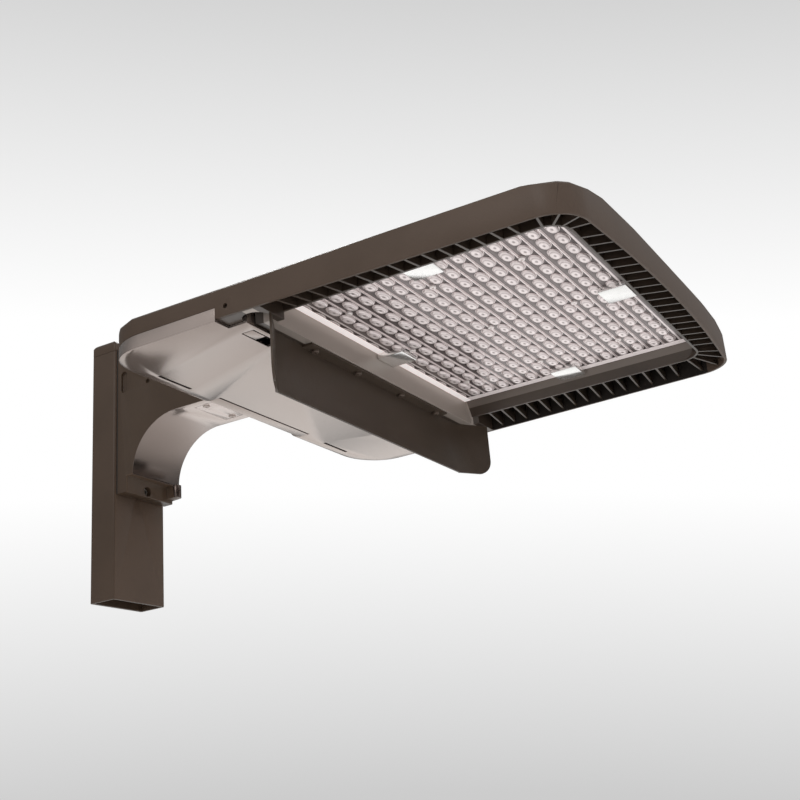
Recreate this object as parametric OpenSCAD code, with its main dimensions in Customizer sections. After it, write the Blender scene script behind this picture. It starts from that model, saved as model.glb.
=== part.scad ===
// Shoebox area light: an LED head on a straight arm, bolted to a short rectangular pole section.
// Millimetres, +Z up. The origin is the centre of the pole section's lower end.
// +X runs along the arm to the front of the head, and the light is even about the XZ plane.

/* [Pole section] */
// Width of the pole across the arm
pole_width = 76; // [70:1:84]
// Depth of the pole along the arm
pole_depth = 32; // [30:1:38]
// Wall thickness of the pole tube
pole_wall = 3; // [2:0.5:4]
// Length of the tube below its cap
pole_length = 270; // [262:2:300]
// Corner radius of the pole tube
pole_corner = 2.5; // [1.5:0.5:3]
// Height of the rounded cap above the tube
cap_height = 14.5; // [12:0.5:16]
// Radius on the cap's upper edges
cap_round = 8; // [5:1:9]
// Depth of the cap's plug inside the tube
cap_plug = 10; // [6:1:16]

/* [Head outline] */
// Drop of the head's lower rim below the top of the tube
rim_drop = 106; // [100:1:108]
// Distance from the pole face to the head's rear edge
rear_gap = 144; // [142:1:150]
// Length of the head, rear edge to front edge
head_length = 467; // [465:1:480]
// Width of the head at its widest
head_width = 440; // [438:1:450]
// Narrowing of each side towards the front corners
front_in = 6.5; // [3:0.5:7.5]
// Bow of the front edge
front_bow = 8; // [5:1:9]
// Radius of the front corners
front_corner = 34; // [30:1:36]
// Radius of the rear corners
rear_corner = 50; // [44:1:54]
// Height of the upright band round the head
band_height = 22; // [20:0.5:23]
// Height of the roof's crown above the rim
head_height = 76; // [74:1:82]
// Wall thickness of the head casting
wall = 3; // [2.5:0.25:3.5]

/* [Arm] */
// Width of the arm
arm_width = 72; // [66:1:74]
// Wall thickness of the arm
arm_wall = 4; // [3:0.5:5]
// Rise of the arm's top edge above the tube, at the pole
arm_over = 2; // [0:1:6]
// Fall of the arm's top edge over its length
arm_fall = 18; // [14:1:22]
// Height of the arm's flat underside above the head's rim
arm_rise = 18.8; // [18:0.2:19.6]
// Radius of the hollow under the arm
arch_radius = 56; // [52:1:57]
// Drop of the foot's lower edge below the head's rim
foot_drop = 55.4; // [53:0.2:58]
// Thickness of the arm above the foot, pole gasket to front face
foot_depth = 21; // [19:0.5:22]
// Depth of the foot's pad below the arch, gasket to face
pad_depth = 12.5; // [12:0.5:15]
// Length of the arm, pole face to head joint
arm_length = 122; // [119:1:124]

/* [Driver door] */
// Distance from the head's rear edge to the door's side step
step_reach = 132.5; // [131:0.5:133]
// Distance from the head's rear edge to the door's front edge
door_reach = 151.5; // [151:0.5:152]
// Height of the door's edge lip above the rim
lip_height = 10; // [9:0.5:10.5]
// Drop of the door's underside below the rim
door_drop = 2.5; // [2:0.25:3]
// Sheet thickness of the door
door_sheet = 2.5; // [2:0.25:2.75]
// Reach of the rounding along the door's lower rear edge
rear_round = 14; // [10:1:18]
// Length of one hinge
hinge_length = 45; // [39:1:48]
// Distance of each hinge's middle from the head's side
hinge_in = 85.5; // [82:0.5:90]
// Radius of the hinge knuckles
knuckle_radius = 3.5; // [3:0.25:4]
// Radius of the hinge pins
pin_radius = 1.75; // [1.5:0.25:2]

/* [House-side shield] */
// Width of the shield's flat face
shield_width = 334; // [326:2:340]
// Drop of the shield below the rim
shield_drop = 55.8; // [45:0.6:63]
// Sheet thickness of the shield
shield_sheet = 2; // [1.5:0.25:2.5]
// Length of each angled end panel
shield_end = 41; // [36:1:43]
// Angle of the end panels to the flat face
shield_angle = 31.5; // [26:0.5:36]
// Lower corner radius of the end panels
shield_corner = 16; // [10:1:18]

/* [Optics] */
// Lenses along the head
lens_columns = 14; // [10:1:14]
// Lenses across the head
lens_rows = 14; // [10:1:14]
// Spacing of the lens columns
column_pitch = 17.2; // [16:0.1:17.4]
// Margin of the plate beyond the outer lens rows
row_margin = 11.1; // [11:0.1:14]
// Length of a lens across the head
lens_long = 16; // [13:0.5:17]
// Width of a lens along the head
lens_wide = 7.6; // [6:0.2:9]
// Depth of a lens below the plate
lens_depth = 2.4; // [1.5:0.1:3]
// Length of the optic plate along the head
plate_length = 260; // [256:1:262]
// Distance of the optic plate from the head's sides
plate_in = 50; // [49:0.5:52]
// Thickness of the optic plate
plate_thick = 2; // [1.5:0.1:2.2]
// Height of the plate's face above the rim
plate_rise = 23.4; // [22.8:0.2:24]

/* [Vents] */
// Spacing of the webs along the sides
side_web_pitch = 15; // [13:0.5:18]
// Spacing of the webs along the front
front_web_pitch = 17; // [15:0.5:20]
// Thickness of a web
web_thick = 2.2; // [1.6:0.2:2.8]
// Width of the tray wall's lower edge
tray_edge = 2.5; // [2:0.5:4]
// Outward slope of the tray wall, plate to lower edge
tray_slope = 10; // [8:0.5:11]
// Height of the tray wall's lower edge above the rim
tray_rise = 7.8; // [6:0.2:9]

/* [Inside] */
// Width of the driver
driver_width = 62; // [54:1:64]
// Depth of the driver below its plate
driver_depth = 34; // [26:1:36]
// Spacing of the heat sink's fins
fin_pitch = 14; // [12:0.5:20]
// Thickness of a fin
fin_thick = 2.4; // [1.8:0.2:3]
// Thickness of the heat sink's base
sink_base = 5; // [4:0.5:6]

/* [Hidden] */
$fn = 48;
both = [-1, 1];
step_fn = 10;
// Angle at which the front corner's curve meets the side
bow_turn = 88;
// Small clearances
touch = 0.2;
fit = 0.1;
gap = 0.5;
slack = 1;
// Main heights and lengths
face_x = pole_depth / 2;
rear_x = face_x + rear_gap;
front_x = rear_x + head_length;
step_x = rear_x + step_reach;
door_x = rear_x + door_reach;
rim_z = pole_length - rim_drop;
arm_top = pole_length + arm_over;
foot_low = rim_z - foot_drop;
band_z = rim_z + band_height;
crown_z = rim_z + head_height;
roof_rise = crown_z - band_z;
half_w = head_width / 2;
front_w = half_w - front_in;
hinge_offset = half_w - hinge_in;
plate_width = head_width - 2 * plate_in;
row_pitch = (plate_width - 2 * row_margin) / lens_rows;
rear_w = half_w - gap;
fold_x = rear_x + rear_corner;
above = head_height;
// Roof outlines as shares of a slope's length and of the roof's rise
across_shares = [[1, 0], [0.997, 0.06], [0.985, 0.11], [0.96, 0.15], [0.61, 0.72], [0.46, 0.9],
    [0.28, 0.98], [0.1, 1]];
front_shares = [[0, 0], [0.002, 0.06], [0.012, 0.12], [0.035, 0.18], [0.07, 0.24], [0.5, 0.83],
    [0.75, 0.96], [1, 1]];
rear_shares = [[0, 0], [0.015, 0.06], [0.05, 0.12], [0.11, 0.18], [0.78, 0.88], [0.9, 0.96], [1, 1]];
front_slope = 0.4 * head_length;
rear_slope = 0.24 * head_length;

// Arm joints, fasteners and marks
seal = 2;
bolt_radius = 4;
bolt_head = 7;
head_thick = 5;
washer_radius = 10;
washer_thick = 2;
plate_bolt = 5;
arm_x = face_x + seal;
arm_end = face_x + arm_length;
neck_x = arm_end + seal;
flat_z = rim_z + arm_rise;
foot_x = arm_x + foot_depth;
pad_x = arm_x + pad_depth;
pad_round = 2;
lug_reach = 5;
lug_wide = 10;
lug_rise = 4;
lug_round = 4;
arch_x = foot_x + arch_radius;
arch_z = flat_z - arch_radius;
low_bolt = foot_low + foot_depth * 0.3;
high_bolt = arm_top - foot_depth * 1.2;
plate_over = 11;
low_side = -4;
low_radius = 3;
low_head = 4.9;
low_sink = 9;
low_seat = pad_x - low_sink;
bolt_spots = [[low_side, low_bolt, low_radius], [0, high_bolt, bolt_radius]];
end_top = arm_top - arm_fall;
slot_long = 24;
slot_wide = 8;
slot_deep = 3;
slot_x = arm_x + slot_wide * 1.1;
slot_z = flat_z + slot_long * 2;
cover_long = 24;
cover_wide = 52;
cover_thick = 1.6;
cover_x = arm_end - cover_long - seal;
m4 = 2;
m4_head = 3.6;
m4_thick = 2.4;
thread = 9;
m6 = 3;
m6_head = 5;
m6_thick = 5;
wire_z = (flat_z + end_top) / 2;
wire_radius = 8;
neck_bolts = [for (sy = both) for (z = [flat_z + arm_wall * 3.4, end_top - arm_wall * 3.4])
    [sy * (arm_width / 2 - arm_wall * 3), z]];
neck_wall = 6;
mark_radius = 2.6;
mark_back = 36;
mark_drop = 7;
mark_x = arch_x - mark_back;
mark_z = slot_z - mark_drop;
neck_reach = rear_x + rear_slope;
cover_w = 150;
ramp_reach = 23.5;
ramp_back = 10;
ramp_run = 20.5;
ramp_x = rear_x + ramp_reach;
cover_gap = 1.6;
cover_end = ramp_x - cover_gap;
// Door, tray and the gear between them
door_z = rim_z - door_drop;
lip_z = rim_z + lip_height;
hinge_z = lip_z + gap / 2;
tray_gap = 15.5;
tray_x = door_x + tray_gap;
board_thick = 1.6;
board_gap = 1.2;
base_z = rim_z + plate_rise + plate_thick + board_gap + board_thick;
boss_radius = 4.5;
gear_drop = 30;
gear_z = crown_z - gear_drop;
gear_thick = 2;
gear_back = 24;
gear_rows = [rear_x + rear_slope * 0.62, tray_x - gear_back];
gear_in = 85;
gear_y = half_w - gear_in;
plate_x = tray_x + plate_length / 2;
lens_margin = 23.1;
lens_x = tray_x + lens_margin + column_pitch * (lens_columns - 1) / 2;
screw_columns = [1, 6, 11];
screw_rows = [2, 7, 12];
screw_spots = [for (c = screw_columns) for (r = screw_rows)
    [lens_x + (c - lens_columns / 2) * column_pitch, (r - lens_rows / 2) * row_pitch]];
knuckle_third = hinge_length / 3;
// Small features of the door, the neck and the sides
side_hole = 2.2;
side_hole_reach = 11;
side_hole_rise = 9;
side_hole_x = step_x + side_hole_reach;
side_hole_z = rim_z + side_hole_rise;
cover_rise = 1;
cover_screw_reach = 6;
cover_screw_drop = 7;
cover_screw_x = rear_x + cover_screw_reach;
cover_screw_z = flat_z - cover_screw_drop;
lobe = 8;
cover_screw_y = 24;
notch_rear = 1.1;
notch_front = 5;
notch_x0 = step_x + notch_rear;
notch_x1 = door_x - notch_front;
notch_in = 34.5;
notch_long = 38.5;
notch_y1 = half_w - notch_in;
notch_y0 = notch_y1 - notch_long;
latch_long = 17.5;
slot_hinge = 3.4;
slot_reach = 18.5;
slot_line = rear_x + slot_reach;
round_turn = 62;
round_drop = 4.2;
round_z = lip_z - round_drop;
round_y = half_w - round_turn + rear_round;
corner_turns = [22, 45, 68];
corner_lifts = [0.3, 0.7, 0.4];
corner_ease = 0.3;
corner_in = 19;
corner_y = half_w - corner_in;
// Driver, wiring and grommet
gear_low = gear_z - gear_thick;
gear_mid = (gear_rows[0] + gear_rows[1]) / 2;
ear = 9;
surge_wide = 36;
surge_deep = 26;
block_wide = 22;
block_deep = 16;
block_space = 8;
gear_space = 12;
block_y = gear_y - ear - block_wide;
surge_y = block_y - block_space - surge_wide;
driver_y0 = -gear_y + m4_head * 2;
driver_y1 = surge_y - gear_space;
lead_radius = 1.6;
grommet_reach = 50;
grommet_rise = 6;
grommet_y = driver_y0 + grommet_reach;
grommet_z = base_z + sink_base + grommet_rise;
grommet_radius = 6;
// Tray frame, webs, shield and optics
frame_top = base_z;
tray_w = plate_width / 2;
face_z = rim_z + plate_rise;
edge_z = rim_z + tray_rise;
tray_front = tray_x + plate_length;
ring_w = tray_w + tray_slope + tray_edge;
ring_front = tray_front + tray_slope * 0.7 + tray_edge;
ring_round = 22;
web_low = 2;
web_count = floor((ring_front - ring_round - tray_x - side_web_pitch) / side_web_pitch);
front_count = floor((ring_w - ring_round) / front_web_pitch);
ring_reach = half_w - ring_w;
funnel_reach = 8.5;
funnel_x = door_x + funnel_reach;
funnel_in = 21;
funnel_y = half_w - funnel_in;
funnel_radius = 12;
funnel_deep = 14;
shield_rows = [40, 112];
shield_set = 8;
shield_gap = 1.5;
shield_x = door_x + shield_gap;
board_in = 9;
seal_wide = 4;
chip = 3.4;
chip_thick = 0.8;
clip_long = 29;
clip_deep = 28;
clip_thick = 6;
clip_spots = [[plate_x, 0, 90], [plate_x, 0, 0], [plate_x, 0, 180], [plate_x, 0, 270]];

function turn(cx, cy, r, a0, a1, n) =
    [for (i = [0 : n]) [cx + r * cos(a0 + (a1 - a0) * i / n), cy + r * sin(a0 + (a1 - a0) * i / n)]];
function front_at(y) = front_x - front_bow * pow(y / (front_w - front_corner), 2);
// One half of the head's outline in plan, drawn inward by e
function half_plan(e) = concat(
    [[rear_x + e, 0]],
    turn(fold_x, rear_w - rear_corner, rear_corner - e, 180, 90, step_fn),
    [[door_x, half_w - e]],
    turn(front_at(front_w - front_corner) - front_corner, front_w - front_corner, front_corner - e,
        bow_turn, 0, step_fn),
    [for (i = [step_fn - 1 : -1 : 0]) [front_at((front_w - front_corner) * i / step_fn) - e,
        (front_w - front_corner) * i / step_fn]]);
function plan(e) = let (h = half_plan(e))
    concat(h, [for (i = [len(h) - 2 : -1 : 1]) [h[i][0], -h[i][1]]]);

module box(x0, x1, y0, y1, z0, z1) {
    translate([x0, y0, z0]) cube([x1 - x0, y1 - y0, z1 - z0]);
}
module mid_box(x0, x1, w, z0, z1) {
    box(x0, x1, -w / 2, w / 2, z0, z1);
}
module twin() {
    for (s = both) scale_y(s) children();
}
module scale_y(s) {
    if (s < 0) mirror([0, 1, 0]) children();
    else children();
}
module rod_x(x0, x1, y, z, r) {
    translate([x0, y, z]) rotate([0, 90, 0]) cylinder(h = x1 - x0, r = r);
}
module rod_y(x, y0, y1, z, r) {
    translate([x, y0, z]) rotate([-90, 0, 0]) cylinder(h = y1 - y0, r = r);
}
module rod_z(x, y, z0, z1, r) {
    translate([x, y, z0]) cylinder(h = z1 - z0, r = r);
}
module round_rect(l, w, r) {
    square([l - 2 * r, w], center = true);
    square([l, w - 2 * r], center = true);
    for (sx = both) for (sy = both) translate([sx * (l / 2 - r), sy * (w / 2 - r)]) circle(r = r);
}
// Side outline in the XZ plane, drawn out to the given width about the centre line
module side_cut(w) {
    translate([0, w / 2, 0]) rotate([90, 0, 0]) linear_extrude(height = w) children();
}
// Cross outline in the YZ plane, drawn out along X
module cross_cut(x0, x1) {
    translate([x0, 0, 0]) rotate([90, 0, 90]) linear_extrude(height = x1 - x0) children();
}
module roof_across(e, low) {
    polygon(concat(
        [[-half_w - slack, low], [half_w + slack, low], [half_w + slack, band_z]],
        [for (p = across_shares) [p[0] * (half_w - e), band_z + p[1] * (roof_rise - e)]],
        [for (i = [len(across_shares) - 1 : -1 : 0])
            [-across_shares[i][0] * (half_w - e), band_z + across_shares[i][1] * (roof_rise - e)]],
        [[-half_w - slack, band_z]]));
}
module roof_along(e, low) {
    polygon(concat(
        [[rear_x - slack, low], [front_x + slack, low], [front_x + slack, band_z]],
        [for (p = front_shares) [front_x - e - p[0] * front_slope, band_z + p[1] * (roof_rise - e)]],
        [for (i = [len(rear_shares) - 1 : -1 : 0])
            [rear_x + e + rear_shares[i][0] * rear_slope, band_z + rear_shares[i][1] * (roof_rise - e)]],
        [[rear_x - slack, band_z]]));
}
// The head's outer form, or its hollow when e is the wall
module head_form(e, low) {
    intersection() {
        cross_cut(rear_x - slack, front_x + slack) roof_across(e, low);
        side_cut(head_width + 2 * slack) roof_along(e, low);
        translate([0, 0, low]) linear_extrude(height = crown_z - low) polygon(plan(e));
        intersection_for (i = [0 : len(corner_turns) - 1]) intersection_for (s = both)
            rim_cut(s, front_at(front_w - front_corner) - front_corner, front_w - front_corner,
                corner_turns[i], corner_lifts[i], front_corner, e, low);
        intersection_for (i = [0 : len(corner_turns) - 1]) intersection_for (s = both)
            rim_cut(s, fold_x, rear_w - rear_corner, -corner_turns[i], corner_lifts[i], rear_corner, e, low);
    }
}
// The roof's cross outline turned round a corner of the head
module rim_cut(s, x, y, turned, lift, reach, e, low) {
    scale_y(s) translate([x, y, 0]) rotate([0, 0, -turned]) cross_cut(-2 * head_length, 2 * head_length)
        polygon(concat([[-2 * head_length, low], [reach + slack, low], [reach + slack, band_z]],
            [for (p = across_shares) [reach + corner_ease - e - (1 - p[0]) * (half_w - e),
                band_z + lift + p[1] * (roof_rise - e)]],
            [[-2 * head_length, crown_z + lift - e]]));
}

// Pole section
module pole_section() color("#3c332c") {
    difference() {
        linear_extrude(height = pole_length) round_rect(pole_depth, pole_width, pole_corner);
        translate([0, 0, -slack]) linear_extrude(height = pole_length + 2 * slack)
            square([pole_depth - 2 * pole_wall, pole_width - 2 * pole_wall], center = true);
        for (b = bolt_spots) rod_x(0, pole_depth, b[0], b[1], b[2] + gap);
        rod_x(0, pole_depth, 0, wire_z, wire_radius);
    }
}
module pole_cap() color("#42382f") {
    intersection() {
        translate([0, 0, pole_length]) linear_extrude(height = cap_height)
            round_rect(pole_depth, pole_width, pole_corner);
        side_cut(pole_width) cap_side(pole_depth);
        cross_cut(-face_x, face_x) cap_side(pole_width);
    }
    translate([0, 0, pole_length - cap_plug]) linear_extrude(height = cap_plug)
        square([pole_depth - 2 * pole_wall - touch, pole_width - 2 * pole_wall - touch], center = true);
}
module cap_side(w) {
    translate([0, pole_length]) {
        translate([-w / 2, 0]) square([w, cap_height - cap_round]);
        translate([-w / 2 + cap_round, 0]) square([w - 2 * cap_round, cap_height]);
        for (s = both) translate([s * (w / 2 - cap_round), cap_height - cap_round]) circle(r = cap_round);
    }
}

// Arm
module arm_side() {
    difference() {
        polygon([[arm_x, arch_z - slack], [foot_x, arch_z - slack], [foot_x, arch_z], [arch_x, flat_z],
            [arm_end, flat_z], [arm_end, end_top], [arm_x, arm_top]]);
        translate([arch_x, arch_z]) circle(r = arch_radius, $fn = 96);
    }
}
module arm_hollow() {
    difference() {
        polygon([[arm_x + arm_wall, arch_z], [foot_x, arch_z], [arch_x, flat_z + arm_wall],
            [arm_end - arm_wall, flat_z + arm_wall], [arm_end - arm_wall, end_top - arm_wall],
            [arm_x + arm_wall, arm_top - arm_wall]]);
        translate([arch_x, arch_z]) circle(r = arch_radius + arm_wall, $fn = 96);
    }
}
module foot_plan() {
    translate([arm_x, -arm_width / 2]) square([pad_x - pad_round - arm_x, arm_width]);
    translate([arm_x, -arm_width / 2 + pad_round]) square([pad_x - arm_x, arm_width - 2 * pad_round]);
    for (s = both) translate([pad_x - pad_round, s * (arm_width / 2 - pad_round)]) circle(r = pad_round);
}
module lug_plan() {
    translate([arm_x, arm_width / 2 - lug_wide]) square([foot_x + lug_reach - lug_round - arm_x, lug_wide]);
    translate([foot_x + lug_reach - lug_round, arm_width / 2 - lug_wide + lug_round])
        square([lug_round, lug_wide - 2 * lug_round]);
    for (y = [arm_width / 2 - lug_wide + lug_round, arm_width / 2 - lug_round])
        translate([foot_x + lug_reach - lug_round, y]) circle(r = lug_round);
}
module arm() color("#46392f") {
    difference() {
        union() {
            side_cut(arm_width) arm_side();
            translate([0, 0, foot_low]) linear_extrude(height = arch_z - foot_low) foot_plan();
            translate([0, 0, foot_low + lug_rise]) linear_extrude(height = arch_z - foot_low - lug_rise)
                lug_plan();
        }
        side_cut(arm_width - 2 * arm_wall) arm_hollow();
        rod_x(arm_x - slack, pad_x + slack, low_side, low_bolt, low_radius + touch);
        rod_x(low_seat - washer_thick, pad_x + slack, low_side, low_bolt, low_head + touch);
        rod_x(arm_x - slack, foot_x, 0, high_bolt, bolt_radius + touch);
        for (s = both) rod_y(mark_x, s * arm_width / 2 - slot_deep, s * arm_width / 2 + slot_deep, mark_z,
            mark_radius);
        for (p = neck_bolts) rod_x(arm_end - foot_depth / 2, neck_x, p[0], p[1], m6 + touch);
        rod_x(arm_end - foot_depth / 2, neck_x, 0, wire_z, wire_radius);
        rod_x(arm_x - slack, foot_x, 0, wire_z, wire_radius);
        twin() translate([slot_x, arm_width / 2 - slot_deep, slot_z]) rotate([-90, 0, 0])
            linear_extrude(height = 2 * slot_deep) round_rect(slot_wide, slot_long, slot_wide / 2 - fit);
        box(cover_x, cover_x + cover_long, -cover_wide / 2, cover_wide / 2, flat_z - slack,
            flat_z + cover_thick);
        for (s = both) rod_z(cover_x + cover_long / 2, s * (cover_wide / 2 - m4_head * 1.3), flat_z - slack,
            flat_z + arm_wall + slack, m4 + fit);
        rod_z(cover_x + cover_long / 2, 0, flat_z, flat_z + arm_wall + slack, wire_radius);
    }
}
module arm_gasket() color("#16130f") {
    difference() {
        mid_box(face_x, arm_x, arm_width - 2 * slack, foot_low + slack, arm_top - slack);
        for (b = bolt_spots) rod_x(face_x - slack, arm_x + slack, b[0], b[1], b[2] + gap);
        rod_x(face_x - slack, arm_x + slack, 0, wire_z, wire_radius);
    }
}
module access_cover() color("#4a3d33") {
    difference() {
        box(cover_x + touch, cover_x + cover_long - touch, -cover_wide / 2 + touch,
            cover_wide / 2 - touch, flat_z, flat_z + cover_thick);
        for (s = both) rod_z(cover_x + cover_long / 2, s * (cover_wide / 2 - m4_head * 1.3), flat_z - slack,
            flat_z + arm_wall, m4 + fit);
    }
}
module access_screws() color("#6f6a63") {
    for (s = both) pan_screw(cover_x + cover_long / 2, s * (cover_wide / 2 - m4_head * 1.3),
        flat_z, arm_wall, m4, m4_head, m4_thick / 2);
}
// A screw driven upward, with its head under the level z
module pan_screw(x, y, z, grip, r, head_r, head_t) {
    difference() {
        rod_z(x, y, z - head_t, z, head_r);
        rod_z(x, y, z - head_t - slack, z - head_t / 2, r * 0.7);
    }
    rod_z(x, y, z, z + grip, r);
}
module hex_bolt(x0, x1, z, r, head_r, head_t) {
    rod_x(x0, x1, 0, z, r);
    translate([x1, 0, z]) rotate([0, 90, 0]) cylinder(h = head_t, r = head_r, $fn = 6);
}
module arm_bolts() color("#8d8a86") {
    rod_x(face_x - pole_wall - plate_bolt, low_seat, low_side, low_bolt, low_radius);
    difference() {
        rod_x(low_seat, low_seat + head_thick, low_side, low_bolt, low_head - touch);
        translate([low_seat + head_thick / 2, low_side, low_bolt]) rotate([0, 90, 0])
            cylinder(h = head_thick, r = low_radius, $fn = 6);
    }
    hex_bolt(face_x - pole_wall - plate_bolt, arm_x + arm_wall + washer_thick, high_bolt, bolt_radius,
        bolt_head, head_thick);
}
module bolt_washers() color("#a3a09b") {
    washer(low_seat - washer_thick, low_side, low_bolt, low_radius, low_head - fit);
    washer(arm_x + arm_wall, 0, high_bolt, bolt_radius, washer_radius);
}
module washer(x, y, z, hole, r) {
    difference() {
        rod_x(x, x + washer_thick, y, z, r);
        rod_x(x - slack, x + washer_thick + slack, y, z, hole + touch);
    }
}
module backing_plate() color("#77736d") {
    difference() {
        mid_box(face_x - pole_wall - plate_bolt, face_x - pole_wall, pole_width * 0.7,
            low_bolt - plate_over, high_bolt + plate_over);
        for (b = bolt_spots) rod_x(0, pole_depth, b[0], b[1], b[2] + fit);
        rod_x(0, pole_depth, 0, wire_z, wire_radius);
    }
}
module neck_gasket() color("#16130f") {
    difference() {
        mid_box(arm_end, neck_x, arm_width - 2 * slack, flat_z + slack, end_top - slack);
        rod_x(arm_end - slack, neck_x + slack, 0, wire_z, wire_radius);
        for (p = neck_bolts) rod_x(arm_end - slack, neck_x + slack, p[0], p[1], m6 + touch);
    }
}
module neck_screws() color("#8d8a86") {
    for (p = neck_bolts) {
        rod_x(arm_end - arm_wall, neck_x + neck_wall, p[0], p[1], m6);
        difference() {
            rod_x(arm_end - arm_wall - m6_thick, arm_end - arm_wall, p[0], p[1], m6_head);
            rod_x(arm_end - arm_wall - m6_thick - slack, arm_end - arm_wall - m6_thick / 2, p[0], p[1],
                m6 * 0.8);
        }
    }
}

// Head housing
module knuckle(y0, y1) {
    rod_y(rear_x, y0, y1, hinge_z, knuckle_radius);
}
module housing_solid() {
    head_form(0, rim_z);
    side_cut(arm_width) polygon([[neck_x, flat_z], [neck_reach, flat_z], [neck_reach, crown_z - wall * 2],
        [neck_x, end_top]]);
}
module housing_shell() {
    difference() {
        housing_solid();
        head_form(wall, rim_z - slack);
        side_cut(arm_width - 2 * wall) polygon([[neck_x + neck_wall, flat_z + wall],
            [neck_reach + slack, flat_z + wall], [neck_reach + slack, crown_z - wall * 3],
            [neck_x + neck_wall, end_top - wall]]);
        // Room for the door's lip and for the neck cover
        box(rear_x - slack, step_x, -half_w - slack, half_w + slack, rim_z - slack, lip_z + touch);
        mid_box(rear_x - slack, ramp_x, cover_w + 2 * gap, rim_z - slack, flat_z);
    }
}
module housing() color("#4b3f35") {
    difference() {
        union() {
            housing_shell();
            intersection() {
                head_form(slack, rim_z);
                union() {
                    for (x = gear_rows) for (s = both) rod_z(x, s * gear_y, gear_z, crown_z, boss_radius);
                    for (p = screw_spots) rod_z(p[0], p[1], base_z + sink_base, crown_z, boss_radius);
                    mid_box(tray_x - wall * 2, tray_x - wall, head_width, frame_top, crown_z);
                }
            }
            twin() {
                knuckle(hinge_offset - knuckle_third / 2, hinge_offset + knuckle_third / 2);
                box(rear_x - knuckle_radius / 2, rear_x + wall, hinge_offset - knuckle_third / 2,
                    hinge_offset + knuckle_third / 2, hinge_z, hinge_z + knuckle_radius * 3);
            }
        }
        twin() {
            rod_y(rear_x, hinge_offset - hinge_length / 2 - 3 * slack, hinge_offset - knuckle_third / 2,
                hinge_z, knuckle_radius + gap);
            rod_y(rear_x, hinge_offset + knuckle_third / 2, hinge_offset + hinge_length / 2 + 3 * slack,
                hinge_z, knuckle_radius + gap);
            rod_y(rear_x, hinge_offset - hinge_length / 2, hinge_offset + hinge_length / 2, hinge_z,
                pin_radius + fit);
            rod_y(side_hole_x, half_w - wall * 2, half_w + slack, side_hole_z, side_hole);
        }
        for (x = gear_rows) for (s = both) rod_z(x, s * gear_y, gear_z - slack, gear_z + thread, m4 + fit);
        for (p = screw_spots) rod_z(p[0], p[1], base_z, base_z + sink_base + thread, m4 + fit);
        for (p = neck_bolts) rod_x(neck_x - slack, neck_x + neck_wall + slack, p[0], p[1], m6 + fit);
        rod_x(neck_x - slack, neck_x + neck_wall + slack, 0, wire_z, wire_radius);
        rod_x(tray_x - wall * 3, tray_x, grommet_y, grommet_z, grommet_radius);
        for (s = both) rod_z(cover_screw_x, s * cover_screw_y, flat_z - slack, flat_z + wall + slack,
            m4 + fit);
    }
}
module neck_cover() color("#5a4d42") {
    difference() {
        side_cut(cover_w) polygon([[neck_x + slack, flat_z - cover_rise], [neck_x + slack, flat_z],
            [cover_end, flat_z], [cover_end, door_z], [neck_x + ramp_back + ramp_run, door_z],
            [neck_x + ramp_back, flat_z - cover_rise]]);
        // Outside the arm the plate ends further forward, with round inner and outer corners
        twin() {
            box(neck_x, neck_x + ramp_back - lobe, arm_width / 2 + slack, cover_w, door_z - slack,
                flat_z + slack);
            box(neck_x, neck_x + ramp_back, arm_width / 2 + slack + lobe, cover_w, door_z - slack,
                flat_z + slack);
            rod_z(neck_x + ramp_back - lobe, arm_width / 2 + slack + lobe, door_z - slack,
                flat_z + slack, lobe);
            difference() {
                box(neck_x + ramp_back - slack, neck_x + ramp_back + lobe, cover_w / 2 - lobe, cover_w,
                    door_z - slack, flat_z + slack);
                rod_z(neck_x + ramp_back + lobe, cover_w / 2 - lobe, door_z - slack, flat_z + slack, lobe);
            }
        }
        for (s = both) {
            rod_z(cover_screw_x, s * cover_screw_y, door_z - slack, flat_z + slack, m4 + fit);
            rod_z(cover_screw_x, s * cover_screw_y, door_z - slack, cover_screw_z, m4_head + gap);
        }
    }
}
module cover_screws() color("#6f6a63") {
    for (s = both) pan_screw(cover_screw_x, s * cover_screw_y, cover_screw_z, flat_z + wall - cover_screw_z,
        m4, m4_head, m4_thick);
}

// Hinge, door and latches
module hinge_pins() color("#9a968f") {
    twin() {
        rod_y(rear_x, hinge_offset - hinge_length / 2 - slack, hinge_offset + hinge_length / 2 + slack,
            hinge_z, pin_radius);
        for (y = [hinge_offset - hinge_length / 2 - 2 * slack, hinge_offset + hinge_length / 2 + touch])
            rod_y(rear_x, y, y + 2 * slack - touch, hinge_z, pin_radius + slack);
    }
}
module door_plan(e) {
    difference() {
        polygon(plan(e));
        translate([door_x - e, -head_width]) square([head_length, 2 * head_width]);
        for (s = both) translate([step_x - e, s > 0 ? corner_y - e : -head_width])
            square([head_length, head_width - corner_y + e]);
        translate([0, -cover_w / 2 - gap - e]) square([ramp_x + gap + e, cover_w + 2 * gap + 2 * e]);
    }
}
// The space above the door's rounded lower rear edge, or above its inner face when e is the wall
function rounding(e, low) = [for (i = [0 : step_fn])
    [(rear_round - e) * (1 - cos(90 * i / step_fn)), round_z - (round_z - low) * sin(90 * i / step_fn)]];
module low_round(e, low) {
    box(rear_x + round_turn, door_x + slack, -half_w, half_w, low, above + lip_z);
    side_cut(2 * round_y) polygon(concat([[rear_x + round_turn + slack, above + lip_z],
        [rear_x + e, above + lip_z]], [for (p = rounding(e, low)) [rear_x + e + p[0], p[1]]],
        [[rear_x + round_turn + slack, low]]));
    twin() translate([rear_x + round_turn, round_y, 0]) rotate_extrude() polygon(concat(
        [[0, above + lip_z], [round_turn - e, above + lip_z]],
        [for (p = rounding(e, low)) [round_turn - e - p[0], p[1]]], [[0, low]]));
}
module door_room() {
    intersection() {
        translate([0, 0, door_z + door_sheet]) linear_extrude(height = above) door_plan(wall);
        low_round(wall, door_z + door_sheet);
    }
}
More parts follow.
